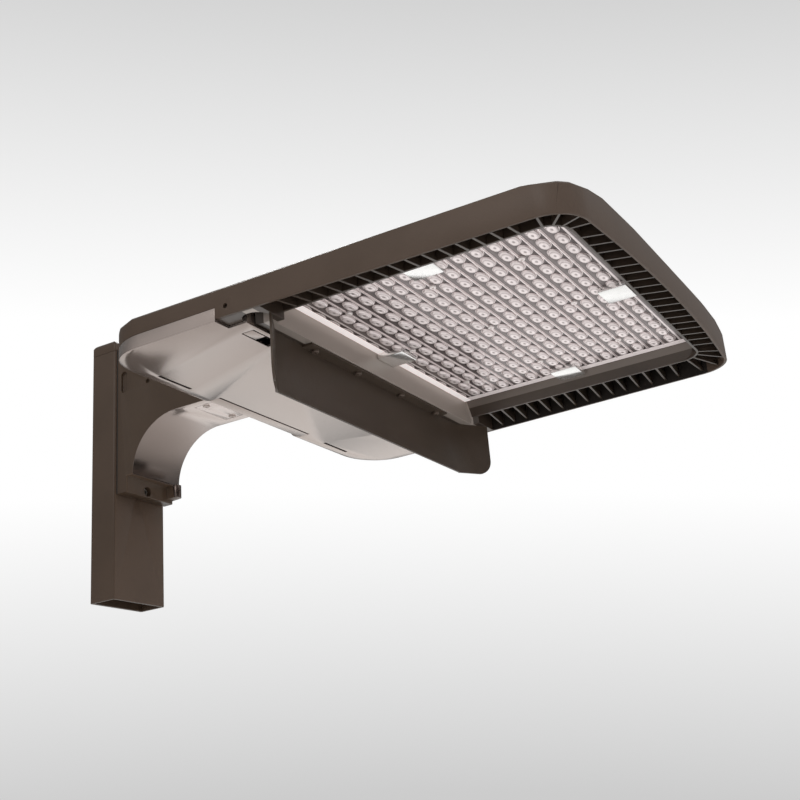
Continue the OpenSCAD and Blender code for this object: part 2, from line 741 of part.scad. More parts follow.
module driver_door() color("#c9bcb2") {
    difference() {
        union() {
            difference() {
                intersection() {
                    translate([0, 0, door_z]) linear_extrude(height = lip_z - door_z) door_plan(0);
                    low_round(0, door_z);
                }
                door_room();
            }
            twin() for (y = [hinge_offset - knuckle_third * 1.5, hinge_offset + knuckle_third / 2 + gap]) {
                knuckle(y, y + knuckle_third - gap);
                box(rear_x - knuckle_radius / 2, rear_x + wall, y, y + knuckle_third - gap,
                    hinge_z - knuckle_radius, hinge_z);
            }
        }
        twin() {
            rod_y(rear_x, hinge_offset - knuckle_third / 2 - touch,
                hinge_offset + knuckle_third / 2 + touch, hinge_z, knuckle_radius + gap);
            for (y = [hinge_offset - hinge_length / 2 - 3 * slack, hinge_offset + hinge_length / 2])
                rod_y(rear_x, y, y + 3 * slack, hinge_z, knuckle_radius + gap);
            rod_y(rear_x, hinge_offset - hinge_length / 2, hinge_offset + hinge_length / 2, hinge_z,
                pin_radius + fit);
            box(notch_x0, notch_x1, notch_y0, notch_y1, door_z - slack, door_z + door_sheet + slack);
            box(ramp_x, ramp_x + 2 * wall, -slack, cover_w / 2 + gap, door_z + door_sheet, lip_z + slack);
            box(slot_line - slot_hinge / 2, slot_line + slot_hinge / 2, hinge_offset - hinge_length / 2,
                hinge_offset + hinge_length / 2, door_z - slack, door_z + door_sheet + slack);
            box(notch_x1 - latch_long / 3, door_x + slack, notch_y0, notch_y1, lip_z - m4_thick * 2,
                lip_z + slack);
        }
    }
}
module door_gasket() color("#1a1714") {
    intersection() {
        door_room();
        difference() {
            translate([0, 0, lip_z - wall]) linear_extrude(height = wall) polygon(plan(wall));
            translate([0, 0, door_z]) linear_extrude(height = above) polygon(plan(wall * 2));
            mid_box(0, ramp_x + wall * 2, cover_w + 2 * wall + 2 * slack + 2 * gap, door_z, lip_z + slack);
            rod_y(rear_x, -half_w, half_w, hinge_z, knuckle_radius + gap);
        }
        box(rear_x, step_x - wall, -half_w, half_w, door_z, lip_z);
    }
}
module latch_slide() {
    y1 = notch_y1 - slack;
    box(notch_x0 + slack, notch_x1 - slack, y1 - latch_long, y1, door_z, door_z + door_sheet);
    box(notch_x0 - wall, notch_x1 + slack, y1 - latch_long, y1, door_z + door_sheet,
        door_z + 2 * door_sheet);
    box(notch_x1 - latch_long / 3, notch_x1 - slack, y1 - latch_long, y1, door_z + 2 * door_sheet,
        lip_z - m4_thick + touch);
    box(notch_x1 - latch_long / 3, door_x - touch, y1 - latch_long * 0.8, y1 - latch_long * 0.2,
        lip_z - m4_thick, lip_z - touch);
}
module latch_left() color("#cfc3b9") scale_y(-1) latch_slide();
module latch_right() color("#cfc3b9") scale_y(1) latch_slide();

// Gear behind the door
module gear_plate() color("#b9b6b0") {
    difference() {
        mid_box(gear_rows[0] - m4_head * 2, gear_rows[1] + m4_head * 2, 2 * gear_y + m4_head * 4,
            gear_low, gear_z);
        for (x = gear_rows) for (s = both) rod_z(x, s * gear_y, gear_low - slack, gear_z + slack, m4 + fit);
        rod_z(gear_rows[1], 0, gear_low - slack, gear_z + slack, m4 + fit);
    }
}
module gear_screws() color("#8d8a86") {
    for (x = gear_rows) for (s = both) pan_screw(x, s * gear_y, gear_low, gear_thick + thread, m4,
        m4_head, m4_thick);
}
module led_driver() color("#e4e2dc") {
    difference() {
        union() {
            box(gear_mid - driver_width / 2, gear_mid + driver_width / 2, driver_y0 + ear,
                driver_y1 - ear, gear_low - driver_depth, gear_low);
            box(gear_mid - driver_width / 4, gear_mid + driver_width / 4, driver_y0, driver_y1,
                gear_low - wall, gear_low);
        }
        for (y = [driver_y0 + ear / 2, driver_y1 - ear / 2]) rod_z(gear_mid, y, gear_low - 2 * wall,
            gear_low + slack, m4 + fit);
    }
}
module driver_screws() color("#8d8a86") {
    for (y = [driver_y0 + ear / 2, driver_y1 - ear / 2]) pan_screw(gear_mid, y, gear_low - wall, wall, m4,
        m4_head, m4_thick);
}
module surge_protector() color("#3a3c40") {
    box(gear_mid - surge_wide / 2, gear_mid + surge_wide / 2, surge_y, surge_y + surge_wide,
        gear_low - surge_deep, gear_low);
}
module terminal_block() color("#ded9cc") {
    difference() {
        box(gear_mid - surge_wide / 2, gear_mid + surge_wide / 2, block_y, block_y + block_wide,
            gear_low - block_deep, gear_low);
        for (i = both) for (j = [0 : 2]) rod_z(gear_mid + (j - 1) * surge_wide / 3.2,
            block_y + block_wide / 2 + i * block_wide / 4, gear_low - block_deep - slack,
            gear_low - block_deep / 2, m4);
    }
}
module terminal_screws() color("#c8b27a") {
    for (i = both) for (j = [0 : 2]) rod_z(gear_mid + (j - 1) * surge_wide / 3.2,
        block_y + block_wide / 2 + i * block_wide / 4, gear_low - block_deep + slack,
        gear_low - block_deep / 2, m4 - fit);
}
module ground_screw() color("#2f7d43") {
    pan_screw(gear_rows[1], 0, gear_low, gear_thick, m4, m4_head, m4_thick);
}
module supply_leads() color("#d8d4cb") {
    for (j = [0 : 2]) {
        lead_x = gear_mid + (j - 1) * surge_wide / 3.2;
        rod_y(lead_x, driver_y1 - ear, surge_y, gear_low - block_deep / 2, lead_radius);
        rod_y(lead_x, surge_y + surge_wide, block_y, gear_low - block_deep / 2, lead_radius);
    }
}
module wire_grommet() color("#141210") {
    difference() {
        union() {
            rod_x(tray_x - wall * 2 - slack, tray_x - wall + slack, grommet_y, grommet_z,
                grommet_radius - fit);
            for (x = [tray_x - wall * 2 - 2 * slack, tray_x - wall])
                rod_x(x, x + 2 * slack, grommet_y, grommet_z, grommet_radius + slack);
        }
        for (s = both) rod_x(tray_x - wall * 4, tray_x + wall, grommet_y + s * lead_radius * 1.3, grommet_z,
            lead_radius + fit);
    }
}
module led_leads() color("#b33a2e") {
    for (s = both) rod_x(gear_mid + driver_width / 2, tray_x + ear, grommet_y + s * lead_radius * 1.3,
        grommet_z, lead_radius);
}
module board_connector() color("#efeee9") {
    box(tray_x + ear, tray_x + 2 * ear, grommet_y - ear, grommet_y + ear, base_z + sink_base,
        grommet_z + lead_radius + slack);
}

// Tray frame, heat sink and optics
// The tray ring in plan, grown by d
module ring_plan(d) {
    translate([door_x + gap, -ring_w - d])
        square([ring_front - ring_round - door_x - gap, 2 * ring_w + 2 * d]);
    translate([door_x + gap, -ring_w + ring_round])
        square([ring_front + d - door_x - gap, 2 * ring_w - 2 * ring_round]);
    for (s = both) translate([ring_front - ring_round, s * (ring_w - ring_round)])
        circle(r = ring_round + d);
}
module tray_hole() {
    intersection() {
        cross_cut(tray_x, front_x) polygon([[-tray_w, frame_top + slack], [-tray_w, face_z],
            [-tray_w - tray_slope, edge_z], [-tray_w - tray_slope, rim_z - slack],
            [tray_w + tray_slope, rim_z - slack], [tray_w + tray_slope, edge_z], [tray_w, face_z],
            [tray_w, frame_top + slack]]);
        side_cut(head_width) polygon([[tray_x, frame_top + slack], [tray_x, rim_z - slack],
            [tray_front + tray_slope * 0.7, rim_z - slack], [tray_front + tray_slope * 0.7, edge_z],
            [tray_front, face_z], [tray_front, frame_top + slack]]);
        translate([0, 0, rim_z - slack]) linear_extrude(height = above) ring_plan(-tray_edge);
    }
}
module web_shape() {
    polygon([[0, edge_z], [ring_reach, rim_z + web_low], [ring_reach, band_z], [0, band_z]]);
}
module web_out(x, y, a) {
    translate([x, y, 0]) rotate([90, 0, a]) translate([0, 0, -web_thick / 2])
        linear_extrude(height = web_thick) translate([-slack, 0]) web_shape();
}
module vent_frame() color("#3b2f26") {
    intersection() {
        translate([0, 0, rim_z]) linear_extrude(height = above) polygon(plan(wall));
        difference() {
            union() {
                translate([0, 0, edge_z]) linear_extrude(height = frame_top - edge_z) ring_plan(0);
                mid_box(door_x + gap, tray_x, 2 * ring_w, rim_z, frame_top);
                twin() {
                    for (i = [1 : web_count]) web_out(tray_x + side_web_pitch * (i + 0.5), ring_w, 90);
                    for (a = [12 : 22 : 78])
                        web_out(ring_front - ring_round + (ring_round - slack) * cos(a),
                            ring_w - ring_round + (ring_round - slack) * sin(a), a);
                    for (i = [1 : front_count]) web_out(ring_front, (i - 0.5) * front_web_pitch, 0);
                    box(step_x + gap, tray_x + ear, corner_y + gap, half_w, rim_z, band_z);
                    box(door_x + gap, tray_x + ear, ring_w - slack, corner_y + slack, rim_z, band_z);
                }
            }
            tray_hole();
            twin() {
                rod_z(funnel_x, funnel_y, rim_z - slack, rim_z + funnel_deep, funnel_radius);
                for (y = shield_rows)
                    rod_z(door_x + shield_set, y, rim_z - slack, rim_z + thread, m4 + fit);
            }
        }
    }
}
module heat_sink() color("#a9aaab") {
    sink_w = 2 * ring_w;
    difference() {
        union() {
            box(tray_x + slack, ring_front - slack, -ring_w, ring_w, base_z, base_z + sink_base);
            intersection() {
                head_form(wall * 2, rim_z);
                union() for (i = [-floor(tray_w / fin_pitch) : floor(tray_w / fin_pitch)])
                    box(tray_x + ear * 3, ring_front - ear, i * fin_pitch - fin_thick / 2,
                        i * fin_pitch + fin_thick / 2, base_z + sink_base, crown_z);
            }
        }
        for (p = screw_spots) {
            rod_z(p[0], p[1], base_z + sink_base, crown_z, boss_radius + slack);
            rod_z(p[0], p[1], base_z - slack, crown_z, m4 + touch);
        }
    }
}
module led_board(s) {
    y0 = s > 0 ? gap : -tray_w + board_in;
    y1 = s > 0 ? tray_w - board_in : -gap;
    difference() {
        box(tray_x + board_in, tray_front - board_in, y0, y1, base_z - board_thick, base_z);
        for (p = screw_spots) rod_z(p[0], p[1], base_z - board_thick - slack, base_z + slack, m4 + touch);
    }
}
module led_board_left() color("#f1f1ee") led_board(-1);
module led_board_right() color("#f1f1ee") led_board(1);
module led_chips() color("#f3d96b") {
    for (c = [0 : lens_columns - 1]) for (r = [0 : lens_rows - 1])
        translate([lens_x + (c - (lens_columns - 1) / 2) * column_pitch - chip / 2,
            (r - (lens_rows - 1) / 2) * row_pitch - chip / 2, base_z - board_thick - chip_thick])
            cube([chip, chip, chip_thick]);
}
module optic_gasket() color("#2a2724") {
    difference() {
        box(tray_x + slack, tray_front - slack, -tray_w + slack, tray_w - slack, face_z + plate_thick,
            base_z);
        box(tray_x + slack + seal_wide, tray_front - slack - seal_wide, -tray_w + slack + seal_wide,
            tray_w - slack - seal_wide, face_z, base_z + slack);
    }
}
module lens_plan() {
    for (c = [0 : lens_columns - 1]) for (r = [0 : lens_rows - 1])
        translate([lens_x + (c - (lens_columns - 1) / 2) * column_pitch,
            (r - (lens_rows - 1) / 2) * row_pitch]) {
            square([lens_wide, lens_long - lens_wide], center = true);
            for (s = both) translate([0, s * (lens_long - lens_wide) / 2])
                circle(r = lens_wide / 2, $fn = 24);
        }
}
module optic_plate() color("#e7dede") {
    difference() {
        union() {
            box(tray_x + touch, tray_front - touch, -tray_w + touch, tray_w - touch, face_z,
                face_z + plate_thick);
            translate([0, 0, face_z - lens_depth]) linear_extrude(height = lens_depth) lens_plan();
        }
        for (p = screw_spots) rod_z(p[0], p[1], face_z - slack, face_z + plate_thick + slack, m4 + touch);
        for (p = clip_spots) clip_block(p, slack, lens_depth + slack, 0);
    }
}
// A clip on one side of the tray; the half size depends on the side
module clip_block(p, grow, drop, up) {
    reach = p[2] == 90 || p[2] == 270 ? tray_w : plate_length / 2;
    translate([p[0], 0, 0]) rotate([0, 0, p[2]])
        box(reach - clip_deep - grow, reach + up, -clip_long / 2 - grow, clip_long / 2 + grow,
            face_z - drop, face_z);
}
module optic_clips() color("#f4f2ef") {
    for (p = clip_spots) clip_block(p, 0, clip_thick, 0);
}
module optic_screws() color("#d9d6d1") {
    for (p = screw_spots) pan_screw(p[0], p[1], face_z, base_z + sink_base + thread - face_z - slack, m4,
        m4_head - gap, m4_thick - touch);
}

// House-side shield
module house_shield() color("#3a3029") {
    difference() {
        union() {
            mid_box(shield_x, shield_x + shield_sheet, shield_width, rim_z - shield_drop, rim_z);
            mid_box(shield_x, shield_x + shield_set * 1.6, shield_width - 2 * shield_end,
                rim_z - shield_sheet, rim_z);
            twin() translate([shield_x + shield_sheet / 2, shield_width / 2 - shield_sheet / 2, 0])
                rotate([90, 0, 90 - shield_angle]) translate([0, 0, -shield_sheet / 2])
                linear_extrude(height = shield_sheet) end_panel();
        }
        twin() for (y = shield_rows) rod_z(door_x + shield_set, y, rim_z - 2 * shield_sheet, rim_z + slack,
            m4 + fit);
    }
}
module end_panel() {
    translate([-shield_sheet / 2, rim_z - shield_drop + shield_corner])
        square([shield_end + shield_sheet / 2, shield_drop - shield_corner]);
    translate([-shield_sheet / 2, rim_z - shield_drop])
        square([shield_end - shield_corner, shield_corner + slack]);
    translate([shield_end - shield_corner, rim_z - shield_drop + shield_corner]) circle(r = shield_corner);
}
module shield_screws() color("#5c554d") {
    twin() for (y = shield_rows) pan_screw(door_x + shield_set, y, rim_z - shield_sheet,
        shield_sheet + thread - slack, m4, m4_head, m4_thick);
}

pole_section();
pole_cap();
arm_gasket();
arm();
arm_bolts();
bolt_washers();
backing_plate();
access_cover();
access_screws();
neck_gasket();
neck_screws();
housing();
neck_cover();
cover_screws();
hinge_pins();
driver_door();
door_gasket();
latch_left();
latch_right();
gear_plate();
gear_screws();
led_driver();
driver_screws();
surge_protector();
terminal_block();
terminal_screws();
ground_screw();
supply_leads();
wire_grommet();
led_leads();
board_connector();
vent_frame();
heat_sink();
led_board_left();
led_board_right();
led_chips();
optic_gasket();
optic_plate();
optic_clips();
optic_screws();
house_shield();
shield_screws();
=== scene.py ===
import math
import bmesh
import bpy
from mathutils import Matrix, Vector


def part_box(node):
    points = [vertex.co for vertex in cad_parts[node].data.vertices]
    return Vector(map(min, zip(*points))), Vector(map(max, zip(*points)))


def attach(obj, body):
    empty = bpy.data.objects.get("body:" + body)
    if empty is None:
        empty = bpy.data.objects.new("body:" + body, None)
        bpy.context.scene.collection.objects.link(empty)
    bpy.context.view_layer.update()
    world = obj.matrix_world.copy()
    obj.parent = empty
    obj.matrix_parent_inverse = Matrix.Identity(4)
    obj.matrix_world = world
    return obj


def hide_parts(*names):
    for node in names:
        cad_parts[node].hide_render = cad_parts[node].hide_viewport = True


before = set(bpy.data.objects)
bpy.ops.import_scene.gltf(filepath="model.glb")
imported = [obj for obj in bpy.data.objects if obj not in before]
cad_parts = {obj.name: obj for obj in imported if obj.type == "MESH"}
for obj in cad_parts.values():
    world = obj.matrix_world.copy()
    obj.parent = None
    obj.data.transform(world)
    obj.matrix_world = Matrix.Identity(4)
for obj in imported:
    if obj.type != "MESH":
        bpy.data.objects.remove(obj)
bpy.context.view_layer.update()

# The studio: a photographer's view from below the lamp, up at its lenses and its glossy
# driver door, drawn pale with painted reflection. A pale floor lies well under the cut end of
# the pole. A soft sky lights all of it, with one broad lamp behind the left shoulder and one
# that lights the floor.
FLOOR_DEPTH = 0.62
FLOOR_REACH = 30.0


def paint(red, green, blue):
    """A colour as a paint card gives it, 0 to 255 a channel, in the renderer's own numbers."""
    card = (red / 255, green / 255, blue / 255)
    return tuple(c / 12.92 if c < 0.04045 else ((c + 0.055) / 1.055) ** 2.4 for c in card)


def greys(*stops):
    """A ramp's stops in plain greys, from pairs of place and brightness."""
    return [(place, (shade, shade, shade)) for place, shade in stops]


class Value:
    """A number or colour on its way through a node tree, so that its maths reads as a sum."""

    def __init__(self, bench, socket):
        self.bench, self.socket = bench, socket

    def _sum(self, operation, other, turned=False):
        pair = (other, self) if turned else (self, other)
        return self.bench.node("ShaderNodeMath", {"operation": operation}, {0: pair[0], 1: pair[1]})

    def __add__(self, other):
        return self._sum("ADD", other)

    def __radd__(self, other):
        return self._sum("ADD", other, True)

    def __sub__(self, other):
        return self._sum("SUBTRACT", other)

    def __rsub__(self, other):
        return self._sum("SUBTRACT", other, True)

    def __mul__(self, other):
        return self._sum("MULTIPLY", other)

    def __rmul__(self, other):
        return self._sum("MULTIPLY", other, True)

    def __truediv__(self, other):
        return self._sum("DIVIDE", other)

    def __rtruediv__(self, other):
        return self._sum("DIVIDE", other, True)

    def over(self, limit):
        return self._sum("GREATER_THAN", limit)

    def under(self, limit):
        return self._sum("LESS_THAN", limit)

    def most(self, other):
        return self._sum("MAXIMUM", other)


class Bench:
    """A node tree with one way to add a node: its type, its settings, then its sockets."""

    def __init__(self, tree):
        self.tree = tree
        tree.nodes.clear()

    def node(self, kind, settings=(), sockets=(), out=0):
        made = self.tree.nodes.new(kind)
        for key, value in dict(settings).items():
            if key == "stops":
                ramp = made.color_ramp
                ramp.elements[0].position = value[0][0]
                ramp.elements[-1].position = value[-1][0]
                for place, shade in value[1:-1]:
                    ramp.elements.new(place)
                for stop, (place, shade) in zip(ramp.elements, value):
                    stop.color = (*shade, 1)
            else:
                setattr(made, key, value)
        for key, value in dict(sockets).items():
            if isinstance(value, Value):
                self.tree.links.new(value.socket, made.inputs[key])
            elif isinstance(value, (list, tuple)) and value and isinstance(value[0], Value):
                for item in value:
                    self.tree.links.new(item.socket, made.inputs[key])
            else:
                made.inputs[key].default_value = value
        return Value(self, made.outputs[out]) if made.outputs else made

    def blend(self, share, first, second):
        return self.node("ShaderNodeMix", {"data_type": "RGBA"}, {0: share, 6: first, 7: second}, out=2)

    def shade(self, share, *colours):
        """A blend of two colours, each a paint card's or one that a node gives."""
        first, second = (c if isinstance(c, Value) else (*paint(*c), 1) for c in colours)
        return self.blend(share, first, second)


class Finish(Bench):
    """The nodes of one finish, on the object's own coordinates in metres."""

    def __init__(self, name):
        self.material = bpy.data.materials.new(name)
        self.material.use_nodes = True
        super().__init__(self.material.node_tree)
        self.place = self.node("ShaderNodeTexCoord", out=3)

    def along(self, axis):
        return self.node("ShaderNodeSeparateXYZ", {}, {0: self.place}, axis)

    def noise(self, scale, detail=2.0, stretch=None):
        place = self.place
        if stretch:
            place = self.node("ShaderNodeMapping", {}, {"Vector": place, "Scale": stretch})
        return self.node("ShaderNodeTexNoise", {}, {"Vector": place, "Scale": scale, "Detail": detail})

    def skin(self, height, strength, depth):
        return self.node("ShaderNodeBump", {}, {"Height": height, "Strength": strength, "Distance": depth})

    def coat(self, colour, roughness, normal, **even):
        sockets = {"Base Color": colour, "Roughness": roughness, "Normal": normal}
        sockets.update({key.replace("_", " "): value for key, value in even.items()})
        face = self.node("ShaderNodeBsdfPrincipled", {}, sockets)
        self.node("ShaderNodeOutputMaterial", {}, {"Surface": face})
        return self.material


def placed(piece):
    bpy.context.scene.collection.objects.link(piece)
    return piece


lens = bpy.data.cameras.new("photo_view")
lens.lens, lens.sensor_width = 54.668, 36
lens.shift_x, lens.shift_y = -0.10823, -0.03780
lens.clip_end = 60
seat = placed(bpy.data.objects.new("photo_view", lens))
seat.location = (0.876814, -0.968078, -0.264057)
seat.rotation_euler = [math.radians(a) for a in (111.18137, 6.02326, 26.85016)]
bpy.context.scene.camera = seat
bpy.context.scene.view_settings.view_transform = "Standard"

ground = bpy.data.meshes.new("studio_floor")
ground.from_pydata([(x * FLOOR_REACH, y * FLOOR_REACH, -FLOOR_DEPTH)
                    for x, y in ((-1, -1), (1, -1), (1, 1), (-1, 1))], [], [(0, 1, 2, 3)])
floor = placed(bpy.data.objects.new("studio_floor", ground))
paper = Finish("studio_paper")
ground.materials.append(paper.coat(
    paper.shade(paper.noise(3.0), (243, 243, 242), (249, 249, 248)),
    paper.noise(12.0) * 0.1 + 0.8, paper.skin(paper.noise(300.0), 0.05, 0.0004)))

# Behind the lamp the backdrop is white across the middle of the photographer's view, and
# greyer towards its foot and its top. The lamp itself is lit from the front right.
BACKDROP = ((0.17, 204), (0.4, 255), (0.54, 255), (0.79, 212))
LIT_FROM = (0.75, -0.66, 0.0)

sky = bpy.data.worlds.new("studio_sky")
sky.use_nodes = True
bpy.context.scene.world = sky
air = Bench(sky.node_tree)


def facing(direction):
    """How far the sky's place lies towards a direction, from -1 to 1."""
    return air.node("ShaderNodeVectorMath", {"operation": "DOT_PRODUCT"}, {
        0: air.node("ShaderNodeTexCoord", out=0), 1: tuple(direction)}, out=1)


upright = seat.rotation_euler.to_matrix() @ Vector((0, 1, 0))
seen = air.node("ShaderNodeValToRGB", {"stops": [
    (place, paint(shade, shade, shade)) for place, shade in BACKDROP]}, {0: facing(upright) + 0.5})
front_light = air.node("ShaderNodeValToRGB", {"stops": greys(
    (0.0, 0.12), (0.3, 0.36), (0.55, 0.8), (1.0, 1.0))}, {0: facing(LIT_FROM) * 0.5 + 0.5})
light = air.node("ShaderNodeBackground", {}, {"Color": front_light, "Strength": 1.0})
shown = air.node("ShaderNodeBackground", {}, {"Color": seen, "Strength": 1.0})
camera_rays = air.node("ShaderNodeLightPath")
air.node("ShaderNodeOutputWorld", {}, {"Surface": air.node("ShaderNodeMixShader", {}, {
    0: camera_rays, 1: light, 2: shown})})


def soft_lamp(name, place, target, size, power):
    lamp = bpy.data.lights.new(name, "AREA")
    lamp.shape, lamp.size, lamp.energy = "DISK", size, power
    holder = placed(bpy.data.objects.new(name, lamp))
    holder.location = place
    holder.rotation_euler = (Vector(target) - Vector(place)).to_track_quat("-Z", "Y").to_euler()


soft_lamp("broad_lamp", (0.6, -2.9, 1.9), (0.25, 0.0, 0.15), 1.8, 22)
soft_lamp("floor_lamp", (-0.9, 1.9, 2.4), (-0.9, 1.9, -0.6), 1.6, 60)


# The pole section and its cap: a short length of rectangular steel tube, cut square at its
# lower end, and a cast cap that closes it. Both are powder coated dark bronze. The cap is
# driven into the tube's end and held there by its fit.
WELD = 1e-5
FLAT = math.radians(1.0)
CLOUDS = (14.0, 3.0)
PAINTED_LIT_FACE = 0.0157


def made_whole(shape, name):
    """The object that a finished bmesh gives, not yet in the scene."""
    mesh = bpy.data.meshes.new(name)
    shape.to_mesh(mesh)
    shape.free()
    return bpy.data.objects.new(name, mesh)


def copied(node, name):
    """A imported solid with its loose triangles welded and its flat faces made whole."""
    shape = bmesh.new()
    shape.from_mesh(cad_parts[node].data)
    bmesh.ops.remove_doubles(shape, verts=shape.verts, dist=WELD)
    bmesh.ops.dissolve_limit(shape, angle_limit=FLAT, verts=shape.verts, edges=shape.edges)
    return placed(made_whole(shape, name))


def settled(piece, finish, smooth=35):
    """Turns what a piece's modifiers make into its plain mesh, shaded smooth over round faces."""
    whole = piece.evaluated_get(bpy.context.evaluated_depsgraph_get())
    mesh = bpy.data.meshes.new_from_object(whole)
    piece.modifiers.clear()
    piece.data = mesh
    mesh.materials.clear()
    mesh.materials.append(finish)
    mesh.polygons.foreach_set("material_index", [0] * len(mesh.polygons))
    mesh.shade_smooth()
    mesh.set_sharp_from_angle(angle=math.radians(smooth))
    return piece


def fitted(piece, body, *nodes):
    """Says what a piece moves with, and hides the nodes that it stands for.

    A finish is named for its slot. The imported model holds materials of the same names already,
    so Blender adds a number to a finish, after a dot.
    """
    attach(piece, body)
    if nodes:
        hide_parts(*nodes)


def softened(node, name, finish, edge, steps=2, smooth=35, sharp=28, body="body"):
    """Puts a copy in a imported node's place, with its edges broken by a small round."""
    piece = copied(node, name)
    bevel = piece.modifiers.new("edge", "BEVEL")
    bevel.width, bevel.segments, bevel.limit_method = edge, steps, "ANGLE"
    bevel.angle_limit = math.radians(sharp)
    bevel.use_clamp_overlap = False
    fitted(settled(piece, finish, smooth), body, node)


def dressed(node, finish):
    """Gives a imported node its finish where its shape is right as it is."""
    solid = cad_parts[node]
    if not solid.material_slots:
        solid.data.materials.append(finish)
    for place in solid.material_slots:
        place.material = finish


def orange_peel(make, strength, depth=0.00022):
    """The fine uneven skin of baked powder paint."""
    return make.skin(make.noise(650.0, 1.5) + make.noise(180.0, 1.0) * 0.6, strength, depth)


def pole_coat(name, deep, pale):
    """The pole's powder, with painted light that makes the wide face looking towards the lamp a shade
    paler.
    """
    make = Finish(name)
    cloud = make.noise(*CLOUDS)
    # painted light: the wide face is drawn a shade paler, as where light falls on it
    colour = make.shade(cloud * 0.5 + make.along(0).over(PAINTED_LIT_FACE) * 0.5, deep, pale)
    return make.coat(colour, cloud * 0.14 + 0.33, orange_peel(make, 0.3), Specular_IOR_Level=0.25)


bronze_dark = pole_coat("bronze_dark", (55, 42, 31), (90, 73, 61))
softened("pole_section", "pole_tube", bronze_dark, 0.0005)
softened("pole_cap", "pole_cap_casting", bronze_dark, 0.0005)


# The arm: a straight aluminium casting with a pad on the pole and a hollow arched underside,
# powder coated. A rubber gasket lies between its foot and the pole.
ARCH_MIDDLE, ARCH_RADIUS = (0.095, 0.1268), 0.056
ARCH_SKIN = 0.0002
ARM_UNDERSIDE = 0.1831
PAINTED_LIT_PAD_FACE = 0.0298


def rubber(name, deep, pale):
    make = Finish(name)
    bloom = make.noise(60.0, 4.0)
    return make.coat(make.shade(bloom, deep, pale), bloom * 0.2 + 0.68,
                     make.skin(make.noise(900.0), 0.3, 0.0002))


seal_black = rubber("seal_black", (22, 20, 19), (36, 33, 31))


def arm_coat(name, side, under):
    """The same powder twice: dull on the arm's sides with painted light on the foot's front, glossy where
    it looks down, with painted reflection and painted shade by height.
    """
    make = Finish(name)
    along, height = make.along(0), make.along(2)
    off, up = along - ARCH_MIDDLE[0], height - ARCH_MIDDLE[1]
    arch = (off * off + up * up).under((ARCH_RADIUS + ARCH_SKIN) ** 2)
    down = arch.most(height.under(ARM_UNDERSIDE) * off.over(0.0))
    cloud = make.noise(*CLOUDS)
    # painted light: the foot's front face below the arch is drawn paler, as where light falls on it
    foot = along.over(PAINTED_LIT_PAD_FACE) * height.under(ARCH_MIDDLE[1])
    dull = make.shade(cloud * 0.5 + foot * 0.5, *side)
    # painted reflection and shade: darkest low on the arch's sides, palest at its crown and on the flat
    # underside
    bright = make.node("ShaderNodeValToRGB", {"stops": [
        (share, paint(*shade)) for share, shade in under]}, {0: up / ARCH_RADIUS})
    return make.coat(make.blend(down, dull, bright), down * -0.16 + 0.34 + (cloud - 0.5) * 0.08,
                     orange_peel(make, 0.25, 0.0002), Metallic=down * 0.85, Specular_IOR_Level=0.25)


# The five under shades are painted reflection and painted shade up the arch, on the same dark powder.
bronze_arm = arm_coat("bronze_arm", ((53, 40, 29), (82, 66, 53)), (
    (0.0, (88, 78, 73)), (0.25, (118, 107, 101)), (0.8, (140, 128, 122)), (0.985, (150, 138, 132)),
    (1.0, (184, 172, 166))))
softened("arm", "arm_casting", bronze_arm, 0.0004, smooth=40, sharp=30)
dressed("arm_gasket", seal_black)


# The bolts and screws. The arm is held by a socket bolt low in its foot and a hex bolt behind
# its upper wall, both into the backing plate in the pole. Each kind is one turned shape, made
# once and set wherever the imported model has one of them.
TOWARDS = {"+x": (1, 0, 0), "-x": (-1, 0, 0), "-z": (0, 0, -1)}
RIM_SHARE = 0.3
CROWN_SHARE = 0.8
DRIVE_DRAFT = 0.82
SHANK_SIDES = 14


def solids(node):
    """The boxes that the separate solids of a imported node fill, as (low, high) corners."""
    shape = bmesh.new()
    shape.from_mesh(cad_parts[node].data)
    bmesh.ops.remove_doubles(shape, verts=shape.verts, dist=WELD)
    left, boxes = set(shape.verts), []
    while left:
        group, edge = set(), [left.pop()]
        while edge:
            point = edge.pop()
            group.add(point)
            for link in point.link_edges:
                other = link.other_vert(point)
                if other in left:
                    left.discard(other)
                    edge.append(other)
        low = Vector([min(v.co[i] for v in group) for i in range(3)])
        high = Vector([max(v.co[i] for v in group) for i in range(3)])
        boxes.append((low, high))
    shape.free()
    return sorted(boxes, key=lambda box: tuple(round(c, 5) for c in box[0]))


class Recipe(Bench):
    """A geometry tree with named inputs, which ends in Realize Instances and Set Material."""

    def __init__(self, name, inputs):
        tree = bpy.data.node_groups.new(name, "GeometryNodeTree")
        super().__init__(tree)
        self.keys = {}
        for title, kind in inputs.items():
            socket = tree.interface.new_socket(name=title, in_out="INPUT", socket_type="NodeSocket" + kind)
            self.keys[title] = socket.identifier
        tree.interface.new_socket(name="Geometry", in_out="OUTPUT", socket_type="NodeSocketGeometry")
        self.entry = tree.nodes.new("NodeGroupInput")

    def given(self, title):
        return Value(self, self.entry.outputs[title])

    def moved(self, shape, offset):
        return self.node("GeometryNodeTransform", {}, {"Geometry": shape, "Translation": offset})

    def vector(self, axis, length):
        return self.node("ShaderNodeCombineXYZ", {}, {axis: length})

    def end(self, shape):
        whole = self.node("GeometryNodeRealizeInstances", {}, {0: shape})
        coated = self.node("GeometryNodeSetMaterial", {}, {
            "Geometry": whole, "Material": self.given("Finish")})
        last = self.tree.nodes.new("NodeGroupOutput")
        self.tree.links.new(coated.socket, last.inputs[0])

    def applied(self, piece, values):
        work = piece.modifiers.new(self.tree.name, "NODES")
        work.node_group = self.tree
        for title, value in values.items():
            work[self.keys[title]] = value


fastener = Recipe("turned_fastener", {
    "Geometry": "Geometry", "Head radius": "Float", "Head height": "Float", "Head sides": "Int",
    "Shank radius": "Float", "Length": "Float", "Drive width": "Float", "Drive depth": "Float",
    "Drive sides": "Int", "Axis": "Vector", "Finish": "Material"})


